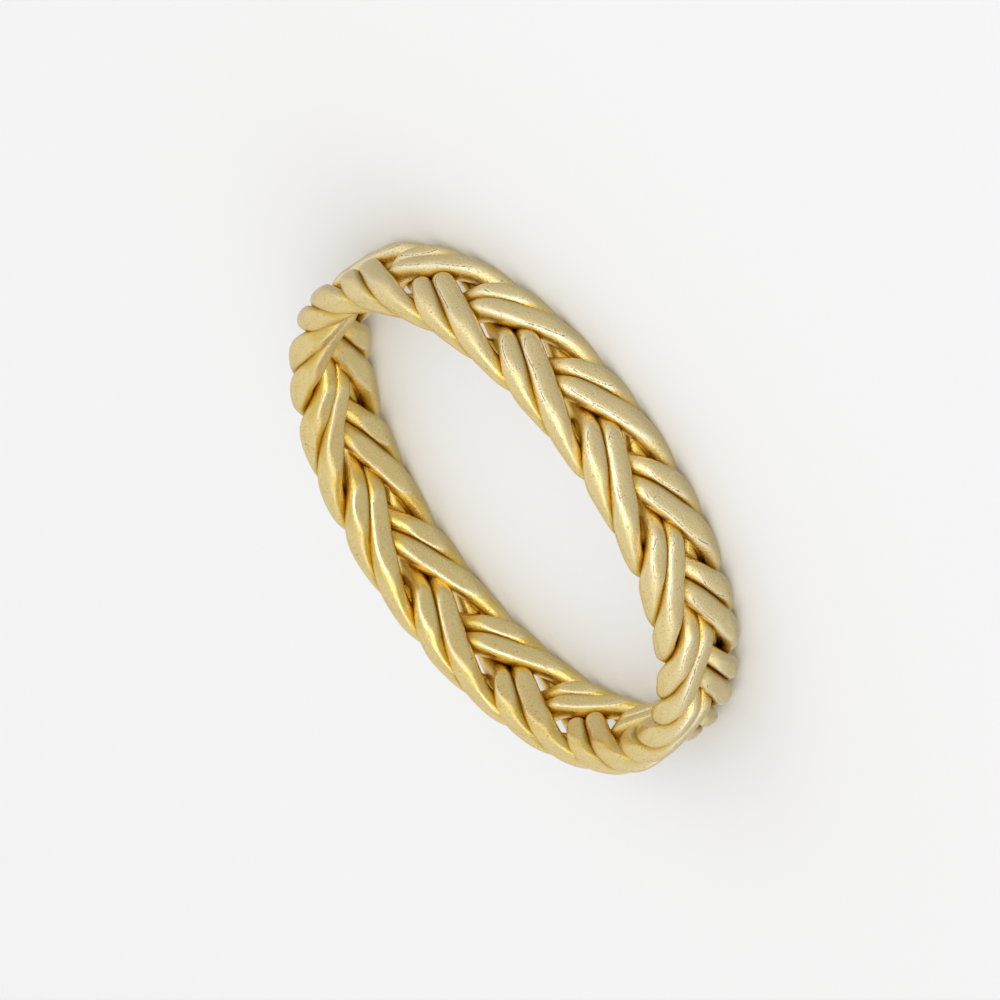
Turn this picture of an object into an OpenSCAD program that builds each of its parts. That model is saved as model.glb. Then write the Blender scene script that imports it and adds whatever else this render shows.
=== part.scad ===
/* [Ring] */
// Diameter of the hole that the finger goes through
finger_d = 17.3; // [14:0.1:23]

/* [Wire] */
// Diameter of the round wire that the braid is made of
wire_d = 0.84; // [0.6:0.01:1.2]
// Depth to which each face and each rim of the band is hammered flat
flat_depth = 0.05; // [0:0.01:0.08]

/* [Braid] */
// Length of braid for each pair of wires that turns at a rim, in wire diameters
pair_pitch_in_wires = 4.98; // [4.92:0.01:6]
// Distance from the middle of the band to a wire's turn, in wire diameters
swing_in_wires = 1.51; // [1.5:0.01:1.8]
// Degrees by which the knuckles are pushed towards one side of the hand-made ring
crowding = 6.6; // [0:0.1:7]
// Direction round the ring of the side where they crowd together
crowding_at = 211; // [0:1:359]
// Degrees of a smaller push, towards two opposite sides of the ring
second_crowding = 1.3; // [0:0.1:1.5]
// Direction round the ring of one of those two sides
second_crowding_at = 166; // [0:1:179]

/* [Joints] */
// Direction round the ring of the seam where the wires' ends meet
seam_at = 99.5; // [0:0.5:359.5]
// Clearance between the two ends of wire that meet at the seam
seam_gap = 0.03; // [0.01:0.01:0.1]

/* [Hidden] */
NODES = [
    "strand_a_lead", "strand_a_trail",
    "strand_b_lead", "strand_b_trail",
    "strand_c_lead", "strand_c_trail"
];

// Knuckles from a wire's turn at one rim to its turn at the other
wires = len(NODES);
knuckles_across = wires / 2;

// How a strand's leading wire lies and is pressed flat, in wire diameters: the height
// of its middle above the middle of the band, its width and its thickness. It crosses
// another wire at every row but the first.
LEADING_WIRE = [
    // [knuckles past the turn, height, width, thickness]
    [0.0, -0.02, 1.00, 0.99],
    [0.5,  0.52, 1.00, 0.72],
    [1.0,  0.62, 1.00, 0.59],
    [1.5,  0.47, 0.95, 0.68],
    [2.0, -0.45, 0.83, 0.68],
    [2.5, -0.48, 0.98, 0.84]
];
rows = len(LEADING_WIRE);

// Height of the faces over the middle of the band before hammering, in wire diameters
face_height = 0.92;

// How straight a wire runs between its turns: 1 degree is a sine wave, 90 a zigzag
zigzag = 64;

// Place of the seam on each wire, in knuckles past its turn
seam_past_turn = 0.75;

// Sides of a wire's section, and sections in one turn of the ring
sides = 10;
sections = 132;

// Faces of the band
hole_r = finger_d / 2;
band_thick = 2 * (wire_d * face_height - flat_depth);
outer_r = hole_r + band_thick;
mid_r = hole_r + band_thick / 2;
swing = wire_d * swing_in_wires;
band_half_w = swing + wire_d / 2 - flat_depth;

// Whole pairs that fit round the ring, the knuckles that they make at each rim, and
// the clearance at the seam counted in knuckles
pairs = floor(2 * PI * mid_r / (wire_d * pair_pitch_in_wires));
knuckles = 2 * pairs;
seam_clear = seam_gap / (2 * PI * mid_r / knuckles);

gold = [0.83, 0.69, 0.38];
deep_gold = [0.78, 0.62, 0.30];

function wrap(x, size) = x - size * floor(x / size);

// Smooth curve through a column of the table, which repeats from turn to turn
function entry(column, i) = LEADING_WIRE[wrap(i, rows)][column];
function blend(a, b, c, d, f) =
    b + 0.5 * f * (c - a + f * (2 * a - 5 * b + 4 * c - d + f * (3 * (b - c) + d - a)));
function between(column, x, i) =
    blend(entry(column, i - 1), entry(column, i), entry(column, i + 1), entry(column, i + 2),
          x - i);
function leading(column, past) =
    let (x = past * rows / knuckles_across)
    wire_d * between(column, x, floor(x));

// A trailing wire does the same as a leading one, run backwards and inside out
function leads(wire) = wire % 2 == 0;
function height(wire, past) = leads(wire) ? leading(1, past) : -leading(1, -past);
function width(wire, past) = leading(2, leads(wire) ? past : -past);
function thickness(wire, past) = leading(3, leads(wire) ? past : -past);

// Place across the band, which is greatest at the turns
function across(past) =
    swing * asin(sin(zigzag) * cos(180 * past / knuckles_across)) / zigzag;

// Direction round the ring of a place in the braid, counted in knuckles
function turned(at) = seam_at + at * 360 / knuckles;
function direction(at) =
    turned(at) - crowding * sin(turned(at) - crowding_at)
               - second_crowding * sin(2 * (turned(at) - second_crowding_at));

// Share of its width that a wire keeps where the knuckles crowd together
function squeezed(at) =
    min(1, (direction(at + 0.5) - direction(at - 0.5)) * knuckles / 360);

// Centre line of a wire at a place in the braid
function centre(wire, at) =
    let (r = mid_r + height(wire, at - wire), a = direction(at))
    [r * cos(a), r * sin(a), across(at - wire)];

function unit(v) = v / norm(v);
function along(wire, at) = unit(centre(wire, at + 0.05) - centre(wire, at - 0.05));

// A point of the section, pressed back to the faces and rims of the band
function pressed(p) =
    let (r = norm([p.x, p.y]), s = max(hole_r, min(outer_r, r)) / r)
    [p.x * s, p.y * s, max(-band_half_w, min(band_half_w, p.z))];

function section(wire, at) =
    let (c = centre(wire, at),
         t = along(wire, at),
         side = unit(cross(t, [c.x, c.y, 0])),
         up = cross(side, t))
    [for (i = [0:sides - 1])
        let (a = 360 * (i + 0.5) / sides)
        pressed(c + side * cos(a) * width(wire, at - wire) * squeezed(at) / 2
                  + up * sin(a) * thickness(wire, at - wire) / 2)];

// A wire starts and ends on the outer face, at the seam place that is nearest seam_at
function seam_place(wire) =
    wrap(wire + seam_past_turn + knuckles_across / 2, knuckles_across) - knuckles_across / 2;
function next_wire(wire) = wrap(wire - knuckles, wires);

module wire(index) {
    start = seam_place(index) + seam_clear / 2;
    end = seam_place(next_wire(index)) + knuckles - seam_clear / 2;
    points = [for (k = [0:sections])
        each section(index, start + (end - start) * k / sections)];
    walls = [for (k = [0:sections - 1], i = [0:sides - 1])
        let (a = k * sides + i, b = k * sides + (i + 1) % sides)
        each [[a, b, b + sides], [a, b + sides, a + sides]]];
    first = [for (i = [sides - 1:-1:0]) i];
    last = [for (i = [0:sides - 1]) sections * sides + i];
    translate([0, 0, band_half_w])
        polyhedron(points, concat(walls, [first, last]));
}

module strand_a_lead() {
    color(gold) wire(0);
}

module strand_a_trail() {
    color(deep_gold) wire(1);
}

module strand_b_lead() {
    color(gold) wire(2);
}

module strand_b_trail() {
    color(deep_gold) wire(3);
}

module strand_c_lead() {
    color(gold) wire(4);
}

module strand_c_trail() {
    color(deep_gold) wire(5);
}

strand_a_lead();
strand_a_trail();
strand_b_lead();
strand_b_trail();
strand_c_lead();
strand_c_trail();
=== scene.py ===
"""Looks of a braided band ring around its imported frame: six gold wires, each rolled from a
grid along its way through the plait, on a plain pale floor under soft studio light."""
import math

import bmesh
import bpy
from mathutils import Matrix, Vector, noise
from mathutils.bvhtree import BVHTree


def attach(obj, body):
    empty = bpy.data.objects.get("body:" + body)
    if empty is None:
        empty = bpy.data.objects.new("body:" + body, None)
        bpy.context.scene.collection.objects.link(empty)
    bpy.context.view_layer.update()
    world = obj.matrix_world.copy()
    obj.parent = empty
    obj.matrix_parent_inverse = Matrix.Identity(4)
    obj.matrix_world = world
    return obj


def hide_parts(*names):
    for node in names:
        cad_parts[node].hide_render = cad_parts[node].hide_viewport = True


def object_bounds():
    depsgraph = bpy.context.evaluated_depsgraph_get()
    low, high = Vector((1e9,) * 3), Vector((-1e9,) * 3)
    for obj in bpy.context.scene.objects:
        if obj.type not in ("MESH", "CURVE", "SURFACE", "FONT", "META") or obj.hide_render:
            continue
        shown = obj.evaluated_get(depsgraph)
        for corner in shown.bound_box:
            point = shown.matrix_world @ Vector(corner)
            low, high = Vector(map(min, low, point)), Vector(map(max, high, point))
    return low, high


bl_info = {
    "name": "Braided band ring",
    "version": (1, 0, 0),
    "blender": (4, 5, 0),
    "location": "View3D > Sidebar > Ring",
    "description": "Makes the wires of a braided gold ring and the stage that it lies on",
    "category": "Object",
}

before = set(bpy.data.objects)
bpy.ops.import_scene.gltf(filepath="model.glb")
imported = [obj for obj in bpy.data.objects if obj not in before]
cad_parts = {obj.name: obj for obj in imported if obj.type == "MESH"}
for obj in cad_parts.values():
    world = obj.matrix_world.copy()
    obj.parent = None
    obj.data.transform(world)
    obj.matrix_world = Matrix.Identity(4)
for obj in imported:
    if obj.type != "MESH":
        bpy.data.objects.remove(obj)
CAD_LOW, CAD_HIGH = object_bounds()

MM = 0.001
FULL_TURN = 2 * math.pi

# The wires in the order of their turns at the upper rim, leading and trailing by turns.
WIRES = (
    "strand_a_lead", "strand_a_trail",
    "strand_b_lead", "strand_b_trail",
    "strand_c_lead", "strand_c_trail",
)

# Knuckles from a wire's turn at one rim to its turn at the other.
KNUCKLES_ACROSS = len(WIRES) / 2

# How a strand's leading wire lies, in wire diameters, at each half knuckle past its turn:
# the height of its middle above the middle of the band, its width and its thickness.
LEADING_WIRE = (
    {"height": 0.00, "width": 1.05, "thickness": 1.00},
    {"height": 0.41, "width": 1.11, "thickness": 0.98},
    {"height": 0.44, "width": 1.09, "thickness": 0.94},
    {"height": 0.38, "width": 0.99, "thickness": 0.96},
    {"height": -0.38, "width": 0.91, "thickness": 0.96},
    {"height": -0.42, "width": 1.01, "thickness": 0.98},
)

# The way that a wire takes is drawn as if its turns were this many degrees of a zigzag.
ZIGZAG = math.radians(64)

# Place of the seam on each wire, in knuckles past its turn.
SEAM_PAST_TURN = 0.75

# Power by which a wire is narrower where the knuckles are nearer to each other.
SQUEEZE = 0.7

# Knuckles before and after a place between which a wire's direction is taken there.
DIRECTION_STEP = 0.03

# How far apart the strays of a hand-laid wire are read, in one soft noise: from a knuckle to
# the next, from a wire to the next, and the row where they start. The noise is seeded, since
# it differs from run to run otherwise.
STRAY_SEED = 1
STRAY_PER_KNUCKLE = 0.9
STRAY_PER_WIRE = 7.3
STRAY_ROW = 2.5

# Share of their roundness and of their soft edges that the flats have inside the ring, and
# the share that their edges lose at the lower side of a wire.
KEPT_INSIDE = 0.6
SHARPER_BELOW = 0.6

# How many times longer than those of the faces the edges are worn round at the rims and at
# the corners.
RIM_SOFTNESS = 1.6
CORNER_SOFTNESS = 2

# Limits of the marks on the gold. Two numbers are where a mark starts and where it is full,
# and four are where it starts, is full, is still full and ends. Proud is how far the wire
# stood out of the flats before it was hammered, gap is how far off the next wire is, and off
# rim is the distance from the band's rim, all in millimetres. Round is the way round the
# wire's section from its upper side, in turns, so the middle of a face is at 0.25. The others
# are heights in a noise, whose middle is at 0.5.
FLAT_PROUD = (-0.05, 0.04)
FALLEN_PROUD = (0.0, -0.15)
LINE_PROUD = (-0.006, 0.004, 0.008, 0.018)
LINE_ROUND = (0.02, 0.05, 0.18, 0.22)
LINE_SPECKS = (0.38, 0.52)
LINE_CLOUDS = (0.42, 0.50)
BRIGHT_ROUND = (0.02, 0.05, 0.17, 0.24)
BRIGHT_PROUD = (-0.06, -0.01, 0.02, 0.07)
BRIGHT_WIDER_OUTSIDE = 0.09
OFF_RIM = (0.2, 0.5)
UNDER_ROUND = (0.26, 0.34)
UNDER_GAP = (0.26, 0.08)
SIDE_GAP = (0.26, 0.03)
GROOVE_GAP = (0.16, 0.02)
CREASE_GAP = (0.06, 0.0)
GROOVE_BREAKS = (0.25, 0.60)
PIT_SPECKS = (0.64, 0.73)
DULL_GRAIN = (0.50, 0.22)
MIDDLE_NOISE = 0.5

# Width and height of the picture, in pixels.
PICTURE = 1000

# How far the floor reaches from the ring on each side, in metres.
FLOOR_REACH = 1.5


def wrap(x, size):
    return x - size * math.floor(x / size)


def through(rows, column, x):
    """Smooth curve through one column of rows that repeat, read at row number x."""
    first = math.floor(x)
    a, b, c, d = (rows[(first + i) % len(rows)][column] for i in (-1, 0, 1, 2))
    f = x - first
    return b + 0.5 * f * (c - a + f * (2 * a - 5 * b + 4 * c - d + f * (3 * (b - c) + d - a)))


def signed_power(x, power):
    return math.copysign(abs(x) ** power, x)


def held(x, limit, soft, share):
    """x with only a share of what it has above a limit, and the bend worn soft."""
    near = max(soft - abs(x - limit), 0.0) / soft
    return x - (1 - share) * (max(x - limit, 0.0) + near * near * soft / 4)


class RingSizes(bpy.types.PropertyGroup):
    """Sizes of the ring that its wires are drawn from."""

    finger_d: bpy.props.FloatProperty(
        name="Finger hole", description="Diameter of the hole that the finger goes through",
        default=17.3 * MM, unit="LENGTH", precision=4)
    wire_d: bpy.props.FloatProperty(
        name="Wire", description="Diameter of the wire before it is hammered",
        default=0.84 * MM, unit="LENGTH", precision=5)
    flat_depth: bpy.props.FloatProperty(
        name="Hammering", description="Depth to which each rim of the band is hammered flat",
        default=0.15 * MM, unit="LENGTH", precision=5)
    knuckles: bpy.props.IntProperty(
        name="Knuckles", description="Wires that turn at each rim, all round the ring",
        default=28, min=12)
    seam_at: bpy.props.FloatProperty(
        name="Seam", description="Direction round the ring where the wires' ends meet",
        default=math.radians(99.5), subtype="ANGLE")
    crowding: bpy.props.FloatProperty(
        name="Crowding", description="How far the knuckles are pushed towards one side",
        default=math.radians(6.6), subtype="ANGLE")
    crowding_at: bpy.props.FloatProperty(
        name="Crowded side", description="Direction of the side where they crowd together",
        default=math.radians(211), subtype="ANGLE")
    second_crowding: bpy.props.FloatProperty(
        name="Second crowding", description="Smaller push, towards two opposite sides",
        default=math.radians(1.3), subtype="ANGLE")
    second_crowding_at: bpy.props.FloatProperty(
        name="Second side", description="Direction of one of those two sides",
        default=math.radians(166), subtype="ANGLE")
    nearing: bpy.props.FloatProperty(
        name="Nearing", description="Knuckles by which a strand's two wires draw together",
        default=0.16, min=0.0, max=0.2)
    fullness: bpy.props.FloatProperty(
        name="Fullness", description="Power of the wire's section, which is round at 2",
        default=2.2, min=2.0, max=4.0)
    dent: bpy.props.FloatProperty(
        name="Dents", description="Depth of the hammer's dents in the faces and rims",
        default=0.07 * MM, unit="LENGTH", precision=5)
    dent_size: bpy.props.FloatProperty(
        name="Dent size", description="Distance from one dent to the next",
        default=1.0 * MM, unit="LENGTH", precision=4)
    bevel: bpy.props.FloatProperty(
        name="Bevel", description="How far the four corners of the band are hammered back",
        default=0.36 * MM, unit="LENGTH", precision=5)
    edge: bpy.props.FloatProperty(
        name="Edges", description="Length over which the edge of a flat is worn round",
        default=0.08 * MM, unit="LENGTH", precision=5)
    crown: bpy.props.FloatProperty(
        name="Crown", description="Share of a wire's roundness that the hammer leaves it",
        default=0.42, min=0, max=1, subtype="FACTOR")
    wobble: bpy.props.FloatProperty(
        name="Wobble", description="How far a hand-laid wire strays from its way",
        default=0.02 * MM, unit="LENGTH", precision=5)
    sections: bpy.props.IntProperty(
        name="Sections", description="Sections along each wire",
        default=1100, min=100)
    sides: bpy.props.IntProperty(
        name="Sides", description="Sides of a wire's section", default=60, min=8)


class RingFinish(bpy.types.PropertyGroup):
    """Colours and gloss of the gold."""

    # Pale: the lit copy of the gold, on the outer face and painted onto the flats as light.
    pale: bpy.props.FloatVectorProperty(
        name="Gold", description="Colour of the gold where it is worn clean",
        default=(0.955, 0.78, 0.39), subtype="COLOR", min=0, max=1)
    # Inside: a painted shaded copy of the gold, deepened as by gold reflected from the other
    # wall.
    inside: bpy.props.FloatVectorProperty(
        name="Inside", description="Colour of the gold towards the finger",
        default=(0.90, 0.705, 0.26), subtype="COLOR", min=0, max=1)
    # Deep gold: painted shade and reflected gold down the wires' sides.
    deep: bpy.props.FloatVectorProperty(
        name="Deep gold", description="Colour of the gold down the wires' sides",
        default=(0.82, 0.585, 0.13), subtype="COLOR", min=0, max=1)
    # Worn gold: a painted highlight along the bright ridges.
    worn: bpy.props.FloatVectorProperty(
        name="Worn gold", description="Colour of the gold along the bright ridges",
        default=(1.0, 0.90, 0.63), subtype="COLOR", min=0, max=1)
    # Grime: colour of painted shade in the grooves and under the wires, and of patina lines, pits
    # and dull grain.
    grime_and_shade: bpy.props.FloatVectorProperty(
        name="Grime", description="Colour of what has settled in the grooves",
        default=(0.28, 0.14, 0.02), subtype="COLOR", min=0, max=1)
    roughness: bpy.props.FloatProperty(
        name="Roughness", description="Roughness of the rounded sides of the wires",
        default=0.15, min=0, max=1, subtype="FACTOR")
    flat_roughness: bpy.props.FloatProperty(
        name="Roughness of flats", description="Roughness of the hammered and filed flats",
        default=0.25, min=0, max=1, subtype="FACTOR")


class StageSetup(bpy.types.PropertyGroup):
    """Camera, floor and lights."""

    elevation: bpy.props.FloatProperty(
        name="Camera height", description="Angle of the camera above the floor",
        default=math.radians(25.2), subtype="ANGLE")
    roll: bpy.props.FloatProperty(
        name="Camera roll", description="Turn of the camera about its own line of sight",
        default=math.radians(234.4), subtype="ANGLE")
    distance: bpy.props.FloatProperty(
        name="Camera distance", description="Distance from the camera to the ring",
        default=400 * MM, unit="LENGTH")
    pixels_per_mm: bpy.props.FloatProperty(
        name="Scale", description="Pixels of the picture to a millimetre at the ring",
        default=28.95)
    middle_px: bpy.props.FloatVectorProperty(
        name="Middle", description="Pixel where the middle of the ring is seen",
        default=(511.7, 509.4), size=2)
    floor_colour: bpy.props.FloatVectorProperty(
        name="Floor", description="Colour of the floor",
        default=(0.90, 0.90, 0.90), subtype="COLOR", min=0, max=1)
    light_below: bpy.props.FloatProperty(
        name="Light from below", description="Brightness of the tent below the ring",
        default=0.47, min=0.0)
    light_level: bpy.props.FloatProperty(
        name="Light from the side", description="Brightness of the tent from the ring up",
        default=0.73, min=0.0)
    light_band: bpy.props.FloatProperty(
        name="Band of light", description="What a band of the tent is brighter by",
        default=0.54, min=0.0)


class Plait:
    """The wires' way round the ring, in metres. It is the way of the frame's nodes, apart from
    the small nearing of a strand's two wires, their strays and their fuller sections."""

    def __init__(self, sizes):
        self.sizes = sizes
        self.wire_d = sizes.wire_d
        self.hole_r = sizes.finger_d / 2
        self.outer_r = (CAD_HIGH.x - CAD_LOW.x) / 2
        self.middle_r = (self.hole_r + self.outer_r) / 2
        self.half_w = (CAD_HIGH.z - CAD_LOW.z) / 2
        self.middle_z = (CAD_HIGH.z + CAD_LOW.z) / 2
        self.swing = self.half_w - self.wire_d / 2 + sizes.flat_depth

    def turned(self, at):
        return self.sizes.seam_at + at * FULL_TURN / self.sizes.knuckles

    def direction(self, at):
        """Direction round the ring of a place in the plait, counted in knuckles."""
        even = self.turned(at)
        return (even - self.sizes.crowding * math.sin(even - self.sizes.crowding_at)
                - self.sizes.second_crowding
                * math.sin(2 * (even - self.sizes.second_crowding_at)))

    def squeezed(self, at):
        """Share of its width that a wire keeps where the knuckles crowd together."""
        step = self.direction(at + 0.5) - self.direction(at - 0.5)
        return min(1.0, (step * self.sizes.knuckles / FULL_TURN) ** SQUEEZE)

    def laid(self, wire, past, column):
        """A column of the table for a wire, in metres. A trailing wire does the same as a
        leading one, run backwards and inside out."""
        leads = wire % 2 == 0
        rows_past = (past if leads else -past) * len(LEADING_WIRE) / KNUCKLES_ACROSS
        value = self.wire_d * through(LEADING_WIRE, column, rows_past)
        return -value if column == "height" and not leads else value

    def across(self, past):
        zigzag = math.asin(math.sin(ZIGZAG) * math.cos(math.pi * past / KNUCKLES_ACROSS))
        return self.swing * zigzag / ZIGZAG

    def nearing(self, wire, past):
        """How far on a wire has been drawn towards its twin, which it leaves at the rims."""
        between = math.sin(math.pi * past / KNUCKLES_ACROSS) ** 2
        return self.sizes.nearing * between * (1 if wire % 2 == 0 else -1)

    def centre(self, wire, at):
        stray = noise.noise_vector((at * STRAY_PER_KNUCKLE, wire * STRAY_PER_WIRE, STRAY_ROW))
        stray *= self.sizes.wobble
        radius = self.middle_r + self.laid(wire, at - wire, "height") + stray.x
        angle = self.direction(at + self.nearing(wire, at - wire))
        return Vector((radius * math.cos(angle), radius * math.sin(angle),
                       self.across(at - wire) + stray.y))

    def pressed(self, point, downward):
        """A point pressed back to the dented faces, rims and corners of the band, and how far
        it stood proud of them. The flats are flatter inside the ring, and their edges are
        sharper there and at a wire's lower side, where downward is near 1."""
        sizes = self.sizes
        radius = math.hypot(point.x, point.y)
        share = KEPT_INSIDE if radius < self.middle_r else 1.0
        crown = sizes.crown * share
        face_edge = sizes.edge * (1.0 - SHARPER_BELOW * max(downward, 0.0)) * share
        rim_edge = RIM_SOFTNESS * sizes.edge
        corner_edge = CORNER_SOFTNESS * sizes.edge
        dent = sizes.dent * (0.5 + 0.5 * noise.noise(point / sizes.dent_size))
        face = (self.outer_r - self.hole_r) / 2 - dent
        rim = self.half_w - dent - sizes.edge / 2
        corner = face + rim - sizes.bevel + dent
        height = abs(radius - self.middle_r)
        off_middle = abs(point.z)
        proud = max(height - face, off_middle - rim)
        height = held(height, face, face_edge, crown)
        off_middle = held(off_middle, rim, rim_edge, crown)
        both = height + off_middle
        back = (both - held(both, corner, corner_edge, crown)) / 2
        kept = self.middle_r + math.copysign(height - back, radius - self.middle_r)
        return Vector((point.x * kept / radius, point.y * kept / radius,
                       math.copysign(off_middle - back, point.z) + self.middle_z)), proud

    def section(self, wire, at):
        """Middle of a wire's section, which stands square to the wire, and its two half axes,
        the first towards the lower rim and the second away from the finger."""
        middle = self.centre(wire, at)
        along = self.centre(wire, at + DIRECTION_STEP) - self.centre(wire, at - DIRECTION_STEP)
        down = along.cross(Vector((middle.x, middle.y, 0))).normalized()
        out = down.cross(along).normalized()
        past = at - wire
        width = self.laid(wire, past, "width") * self.squeezed(at)
        return middle, down * width / 2, out * self.laid(wire, past, "thickness") / 2

    def seam(self, wire):
        """Place of the seam on a wire, as near as it can be to the seam's direction."""
        half = KNUCKLES_ACROSS / 2
        return wrap(wire + SEAM_PAST_TURN + half, KNUCKLES_ACROSS) - half

    def ends(self, wire):
        """Where a wire starts, and where it ends against the next one a turn later."""
        following = int(wrap(wire - self.sizes.knuckles, len(WIRES)))
        return self.seam(wire), self.seam(following) + self.sizes.knuckles


def roll_wire(plait, wire):
    """A bmesh of one wire, rolled from a flat grid into a tube and closed at its ends."""
    sides, sections = plait.sizes.sides, plait.sizes.sections
    start, end = plait.ends(wire)
    power = 2 / plait.sizes.fullness
    half_grid = 0.5
    same_place = plait.wire_d * 1e-4
    mesh = bmesh.new()
    mesh.loops.layers.uv.new("along_wire")
    proud = mesh.verts.layers.float.new("proud")
    bmesh.ops.create_grid(mesh, x_segments=sides, y_segments=sections, size=half_grid,
                          calc_uvs=True)
    round_it = [(signed_power(math.cos(FULL_TURN * i / sides), power),
                 signed_power(math.sin(FULL_TURN * i / sides), power)) for i in range(sides)]
    stations = {}
    for vert in mesh.verts:
        station = round((vert.co.y + half_grid) * sections)
        if station not in stations:
            stations[station] = plait.section(wire, start + (end - start) * station / sections)
        middle, down, out = stations[station]
        downward, outward = round_it[round((vert.co.x + half_grid) * sides) % sides]
        vert.co, proud_by = plait.pressed(middle + down * downward + out * outward, downward)
        vert[proud] = proud_by / MM
    bmesh.ops.remove_doubles(mesh, verts=mesh.verts, dist=same_place)
    open_ends = [edge for edge in mesh.edges if edge.is_boundary]
    bmesh.ops.holes_fill(mesh, edges=open_ends, sides=0)
    bmesh.ops.recalc_face_normals(mesh, faces=mesh.faces)
    for face in mesh.faces:
        face.smooth = len(face.verts) == 4
    return mesh


def mark_gaps(meshes):
    """Notes on each wire's vertices how far they are from the nearest other wire."""
    for own in meshes:
        verts, faces = [], []
        for other in meshes:
            if other is not own:
                first = len(verts)
                verts += [vert.co for vert in other.verts]
                faces += [[first + vert.index for vert in face.verts] for face in other.faces
                          if len(face.verts) == 4]
        tree = BVHTree.FromPolygons(verts, faces)
        gap = own.verts.layers.float.new("gap")
        for vert in own.verts:
            distance = tree.find_nearest(vert.co)[3]
            vert[gap] = distance / MM


class Sock:
    """A shader value: a node's output socket, with Python's operators as Math nodes."""

    def __init__(self, tree, socket):
        self.tree = tree
        self.socket = socket

    def output(self, name):
        """Another output of the same node."""
        return Sock(self.tree, self.socket.node.outputs[name])

    def math(self, operation, *others):
        return calculated(self.tree, operation, self, *others)

    def __add__(self, other):
        return calculated(self.tree, "ADD", self, other)

    def __radd__(self, other):
        return calculated(self.tree, "ADD", other, self)

    def __sub__(self, other):
        return calculated(self.tree, "SUBTRACT", self, other)

    def __rsub__(self, other):
        return calculated(self.tree, "SUBTRACT", other, self)

    def __mul__(self, other):
        return calculated(self.tree, "MULTIPLY", self, other)

    def __rmul__(self, other):
        return calculated(self.tree, "MULTIPLY", other, self)


def calculated(tree, operation, *values):
    """One Math node on values or sockets."""
    return Nodes(tree).add("ShaderNodeMath", {"operation": operation}, dict(enumerate(values)))


class Nodes:
    """A node tree that gains nodes by one method."""

    def __init__(self, tree):
        self.tree = tree

    def add(self, kind, settings=None, inputs=None, output=0):
        """Adds a node with its settings and with values or links on its inputs, and gives
        one of its outputs, or the node itself if it has none."""
        node = self.tree.nodes.new(kind)
        for name, value in (settings or {}).items():
            setattr(node, name, value)
        for name, value in (inputs or {}).items():
            if isinstance(value, Sock):
                self.tree.links.new(value.socket, node.inputs[name])
            else:
                node.inputs[name].default_value = value
        return Sock(self.tree, node.outputs[output]) if node.outputs else node

    def range(self, value, low, high, to_low=0.0, to_high=1.0):
        """Maps a value smoothly from one range to another and holds it at the ends."""
        return self.add("ShaderNodeMapRange", {"interpolation_type": "SMOOTHSTEP"},
                        {"Value": value, "From Min": low, "From Max": high,
                         "To Min": to_low, "To Max": to_high})

    def between(self, value, start, full, still_full, end):
        """1 between two values, and falling to 0 at one value below and one above them."""
        return self.range(value, start, full) * self.range(value, end, still_full)

    def noise(self, vector, size, detail=2.0, roughness=0.5):
        """Noise whose blotches are about so large."""
        return self.add("ShaderNodeTexNoise", None,
                        {"Vector": vector, "Scale": 1 / size, "Detail": detail,
                         "Roughness": roughness})

    def mix_colour(self, factor, first, second):
        return self.add("ShaderNodeMix", {"data_type": "RGBA"},
                        {0: factor, 6: first, 7: second}, output=2)

    def attribute(self, name):
        return self.add("ShaderNodeAttribute", {"attribute_name": name}, output="Fac")


def opaque(colour):
    return (*colour, 1.0)


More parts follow.
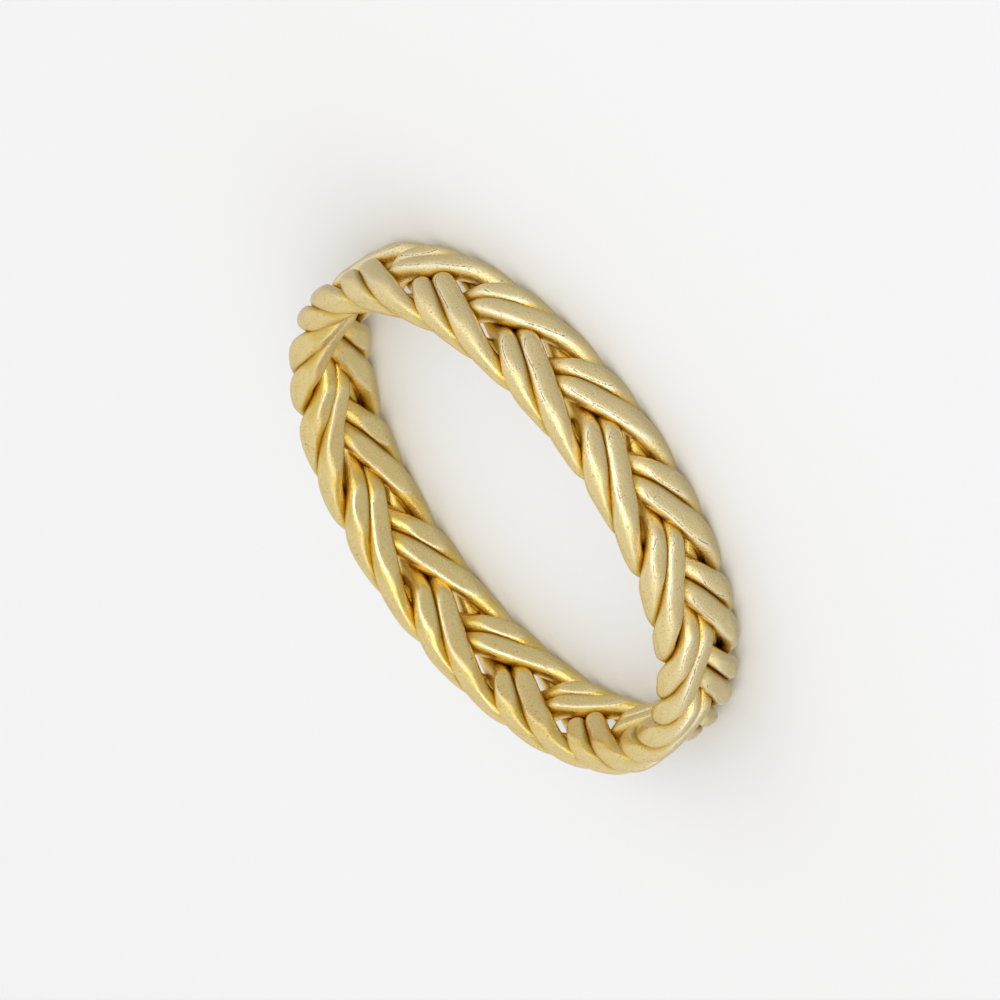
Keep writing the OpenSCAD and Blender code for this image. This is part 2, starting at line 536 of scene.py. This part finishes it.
class GoldMarks:
    """Where the gold is flat, painted bright as a highlight, painted darker as shade, pitted,
    lined with patina or dull, as shader values.
    """

    def __init__(self, nodes, plait):
        place = nodes.add("ShaderNodeTexCoord", output="Object")
        x = nodes.add("ShaderNodeSeparateXYZ", None, {"Vector": place}, "X")
        y = x.output("Y")
        radius = (x * x + y * y).math("SQRT")
        off_middle = (x.output("Z") - plait.middle_z).math("ABSOLUTE")
        along_wire = nodes.add("ShaderNodeUVMap", {"uv_map": "along_wire"})
        around = nodes.add("ShaderNodeSeparateXYZ", None, {"Vector": along_wire}, "X")
        from_top = (around - 0.5).math("ABSOLUTE")
        proud = nodes.attribute("proud")
        gap = nodes.attribute("gap")

        self.cloudy = nodes.noise(place, 1.7 * MM, 3.0)
        self.broken = nodes.noise(place, 0.30 * MM, 4.0, 0.65)
        self.grain = nodes.noise(place, 0.08 * MM, 4.0, 0.75)
        specks = nodes.noise(place, 0.09 * MM)
        lengthwise = nodes.add("ShaderNodeMapping", None, {"Vector": along_wire,
                                                           "Scale": (40.0, 45.0, 1.0)})
        self.scratches = nodes.noise(lengthwise, 1.0, 3.0, 0.6)
        self.pits = nodes.range(specks, *PIT_SPECKS)

        # Outward is 0 at the finger and 1 on the band's outer face. Fallen is 1 where a wire
        # lies well below the flats, and off_rims away from the two rims.
        self.outward = nodes.range(radius, plait.hole_r, plait.outer_r)
        self.flats = nodes.range(proud, *FLAT_PROUD)
        self.fallen = nodes.range(proud, *FALLEN_PROUD)
        off_rims = nodes.range(off_middle, *(plait.half_w - inset * MM for inset in OFF_RIM))

        # Thin broken lines along the edges of the flats, partly patina and partly a painted dark
        # reflection.
        wavering = (proud + 0.06 * (self.broken - MIDDLE_NOISE)
                    + 0.02 * (self.grain - MIDDLE_NOISE))
        self.lines = (nodes.between(wavering, *LINE_PROUD) * nodes.between(from_top, *LINE_ROUND)
                      * nodes.range(specks, *LINE_SPECKS) * nodes.range(self.cloudy, *LINE_CLOUDS)
                      * off_rims * (0.3 + 0.7 * self.outward))

        # Ridges for a painted highlight, wider on the outer face.
        start, *others = BRIGHT_PROUD
        start = start - BRIGHT_WIDER_OUTSIDE * self.outward
        self.bright = (nodes.between(proud, start, *others)
                       * nodes.between(from_top, *BRIGHT_ROUND) * off_rims)

        # Grooves between the wires, with painted shade darkest at the bottom, and the sides and
        # undersides of the wires down to them, also given painted shade.
        creases = 0.85 * nodes.range(gap, *CREASE_GAP)
        grooves = 0.35 * nodes.range(gap, *GROOVE_GAP)
        self.grooves = (creases.math("MAXIMUM", grooves)
                        * nodes.range(self.broken, *GROOVE_BREAKS, to_low=0.7))
        self.sides = nodes.range(gap, *SIDE_GAP) * (1.0 - 0.8 * self.flats)
        self.under = nodes.range(from_top, *UNDER_ROUND) * nodes.range(gap, *UNDER_GAP)


def gold_colour(nodes, finish, marks):
    """Painted lighter outward and on the flats, painted shade deeper down the sides and inside,
    a painted highlight on the ridges, and painted shade, patina, pits and dull grain in the
    hollows.
    """
    # Painted light: paler on the outer face and on the flats; the inside colour is a painted
    # shaded copy.
    painted_light = marks.outward.math("MAXIMUM", 0.55 * marks.flats)
    # Painted shade and reflected gold down the sides near other wires and where a wire lies low
    # inside, plus random tone.
    shaded = (marks.sides + 0.5 * marks.fallen * (1.0 - marks.outward)
              + 0.4 * (marks.cloudy - MIDDLE_NOISE))
    colour = nodes.mix_colour(painted_light, opaque(finish.inside), opaque(finish.pale))
    colour = nodes.mix_colour(shaded, colour, opaque(finish.deep))
    # Painted highlight along the bright ridges.
    colour = nodes.mix_colour(0.8 * marks.bright, colour, opaque(finish.worn))
    # Painted shade in the grooves and under the wires, with patina lines that are partly painted
    # dark reflection, real pits and dull grain.
    dirt_and_shade = marks.grooves
    for hollow in (marks.lines, 0.45 * marks.pits, 0.4 * marks.under,
                   nodes.range(marks.grain, *DULL_GRAIN, to_high=0.34)):
        dirt_and_shade = dirt_and_shade.math("MAXIMUM", hollow)
    return nodes.mix_colour(dirt_and_shade, colour, opaque(finish.grime_and_shade))


def gold_roughness(finish, marks):
    """Satin on the flats and under the wires, glossier on the ridges, and uneven all over."""
    return (finish.roughness + (finish.flat_roughness - finish.roughness) * marks.flats
            - 0.06 * marks.bright + 0.15 * marks.under
            + 0.16 * (marks.cloudy - MIDDLE_NOISE) + 0.20 * (marks.grain - MIDDLE_NOISE))


def gold_relief(nodes, marks):
    """Grain, scratches and pits, a little deeper on the outer face."""
    relief = (marks.grain + 0.4 * marks.scratches + 0.3 * marks.broken
              - 0.6 * marks.pits - 0.4 * marks.lines)
    height = relief * (0.45 + 0.15 * marks.outward)
    return nodes.add("ShaderNodeBump", None,
                     {"Strength": 0.9, "Distance": 0.035 * MM, "Height": height})


def gold_material(plait, finish):
    """Worn yellow gold, hammered and finely scratched, with painted light, shade and highlights
    in its colour.
    """
    material = bpy.data.materials.new("hammered_gold")
    material.use_nodes = True
    material.node_tree.nodes.clear()
    nodes = Nodes(material.node_tree)
    marks = GoldMarks(nodes, plait)
    shader = nodes.add("ShaderNodeBsdfPrincipled", None, {
        "Base Color": gold_colour(nodes, finish, marks),
        "Metallic": 1.0,
        "Roughness": gold_roughness(finish, marks),
        "Normal": gold_relief(nodes, marks),
        "Specular Tint": (0.95, 0.82, 0.58, 1.0),
        "Coat Weight": (0.2 + 0.4 * marks.outward) * (1.0 - marks.sides),
        "Coat Roughness": 0.15})
    nodes.add("ShaderNodeOutputMaterial", None, {"Surface": shader})
    return material


def plain_material(name, colour, roughness):
    material = bpy.data.materials.new(name)
    material.use_nodes = True
    shader = material.node_tree.nodes["Principled BSDF"]
    shader.inputs["Base Color"].default_value = opaque(colour)
    shader.inputs["Roughness"].default_value = roughness
    return material


class RING_OT_wires(bpy.types.Operator):
    """Make the six gold wires of the plait"""

    bl_idname = "ring.wires"
    bl_label = "Plaited wires"

    def execute(self, context):
        noise.seed_set(STRAY_SEED)
        plait = Plait(context.scene.ring_sizes)
        gold = gold_material(plait, context.scene.ring_finish)
        rolled_wires = [roll_wire(plait, number) for number in range(len(WIRES))]
        mark_gaps(rolled_wires)
        for name, rolled in zip(WIRES, rolled_wires):
            mesh = bpy.data.meshes.new(name + "_wire")
            rolled.to_mesh(mesh)
            rolled.free()
            mesh.materials.append(gold)
            wire = bpy.data.objects.new(name + "_wire", mesh)
            context.scene.collection.objects.link(wire)
            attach(wire, "root")
            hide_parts(name)
        return {"FINISHED"}


def soft_light(name, towards, place, size, power):
    """A rectangle of white light at a place, turned towards a point."""
    data = bpy.data.lights.new(name, "AREA")
    data.shape = "RECTANGLE"
    data.size, data.size_y = size
    data.energy = power
    lamp = bpy.data.objects.new(name, data)
    bpy.context.scene.collection.objects.link(lamp)
    lamp.location = place
    lamp.rotation_mode = "QUATERNION"
    lamp.rotation_quaternion = (towards - Vector(place)).to_track_quat("-Z", "Y")
    return lamp


class RING_OT_stage(bpy.types.Operator):
    """Set up the camera, the floor and the soft studio light"""

    bl_idname = "ring.stage"
    bl_label = "Stage"

    def execute(self, context):
        setup = context.scene.ring_stage
        middle = Vector((0, 0, (CAD_LOW.z + CAD_HIGH.z) / 2))
        self.make_camera(context, setup, middle)
        self.make_floor(context, setup)
        self.make_tent(context, setup)
        overhead = soft_light("overhead", middle, place=(0.0, 0.0, 0.6), size=(0.7, 0.7),
                              power=0.35)
        overhead.visible_glossy = False
        soft_light("front", middle, place=(0.0, -0.50, 0.40), size=(0.50, 0.10), power=0.56)
        context.scene.view_settings.view_transform = "Standard"
        return {"FINISHED"}

    @staticmethod
    def make_camera(context, setup, middle):
        """Sees the ring's middle at the photograph's pixel, by sliding in its own plane."""
        half_frame = PICTURE / 2
        data = bpy.data.cameras.new("camera")
        data.sensor_width = 36
        frame_mm = PICTURE / setup.pixels_per_mm
        data.lens = data.sensor_width * (setup.distance / MM) / frame_mm
        data.clip_start, data.clip_end = 0.05, 5.0
        camera = bpy.data.objects.new("camera", data)
        context.scene.collection.objects.link(camera)
        turned = (Matrix.Rotation(math.pi / 2 - setup.elevation, 3, "X")
                  @ Matrix.Rotation(setup.roll, 3, "Z"))
        aside = (half_frame - setup.middle_px[0]) / setup.pixels_per_mm * MM
        up = (setup.middle_px[1] - half_frame) / setup.pixels_per_mm * MM
        camera.rotation_mode = "QUATERNION"
        camera.rotation_quaternion = turned.to_quaternion()
        camera.location = middle + turned @ Vector((aside, up, setup.distance))
        context.scene.camera = camera

    @staticmethod
    def make_floor(context, setup):
        mesh = bpy.data.meshes.new("floor")
        grid = bmesh.new()
        bmesh.ops.create_grid(grid, x_segments=1, y_segments=1, size=FLOOR_REACH)
        grid.to_mesh(mesh)
        grid.free()
        mesh.materials.append(plain_material("floor", setup.floor_colour, roughness=0.8))
        floor = bpy.data.objects.new("floor", mesh)
        floor.location.z = CAD_LOW.z
        floor.visible_glossy = False
        context.scene.collection.objects.link(floor)

    @staticmethod
    def make_tent(context, setup):
        """A white tent all round, dimmer below, with a band of light part of the way up that
        is strongest towards -Y. Its limits are the Z and Y of a direction of length 1."""
        below, level = -0.8, 0.0
        band_heights = (0.18, 0.36, 0.60, 0.85)
        away, near = 0.3, -0.3
        world = bpy.data.worlds.new("studio")
        context.scene.world = world
        world.use_nodes = True
        world.node_tree.nodes.clear()
        nodes = Nodes(world.node_tree)
        towards = nodes.add("ShaderNodeTexCoord", output="Generated")
        height = nodes.add("ShaderNodeSeparateXYZ", None, {"Vector": towards}, "Z")
        band = (nodes.between(height, *band_heights)
                * nodes.range(height.output("Y"), away, near, to_low=0.15))
        brightness = (nodes.range(height, below, level, setup.light_below, setup.light_level)
                      + setup.light_band * band)
        tent = nodes.add("ShaderNodeBackground", None, {"Strength": brightness,
                                                        "Color": (1.0, 1.0, 1.0, 1.0)})
        nodes.add("ShaderNodeOutputWorld", None, {"Surface": tent})


class RING_PT_panel(bpy.types.Panel):
    """Lists what makes the ring"""

    bl_idname = "RING_PT_panel"
    bl_label = "Braided ring"
    bl_space_type = "VIEW_3D"
    bl_region_type = "UI"
    bl_category = "Ring"

    def draw(self, context):
        for group, title in ((context.scene.ring_sizes, "Sizes"),
                             (context.scene.ring_finish, "Finish"),
                             (context.scene.ring_stage, "Stage")):
            box = self.layout.box()
            box.label(text=title)
            for name in type(group).__annotations__:
                box.prop(group, name)
        self.layout.operator(RING_OT_wires.bl_idname)
        self.layout.operator(RING_OT_stage.bl_idname)


CLASSES = (RingSizes, RingFinish, StageSetup, RING_OT_wires, RING_OT_stage, RING_PT_panel)


def register():
    for kind in CLASSES:
        bpy.utils.register_class(kind)
    bpy.types.Scene.ring_sizes = bpy.props.PointerProperty(type=RingSizes)
    bpy.types.Scene.ring_finish = bpy.props.PointerProperty(type=RingFinish)
    bpy.types.Scene.ring_stage = bpy.props.PointerProperty(type=StageSetup)


def unregister():
    del bpy.types.Scene.ring_stage
    del bpy.types.Scene.ring_finish
    del bpy.types.Scene.ring_sizes
    for kind in reversed(CLASSES):
        bpy.utils.unregister_class(kind)


def main():
    register()
    bpy.ops.ring.stage()
    bpy.ops.ring.wires()


if __name__ == "__main__":
    main()
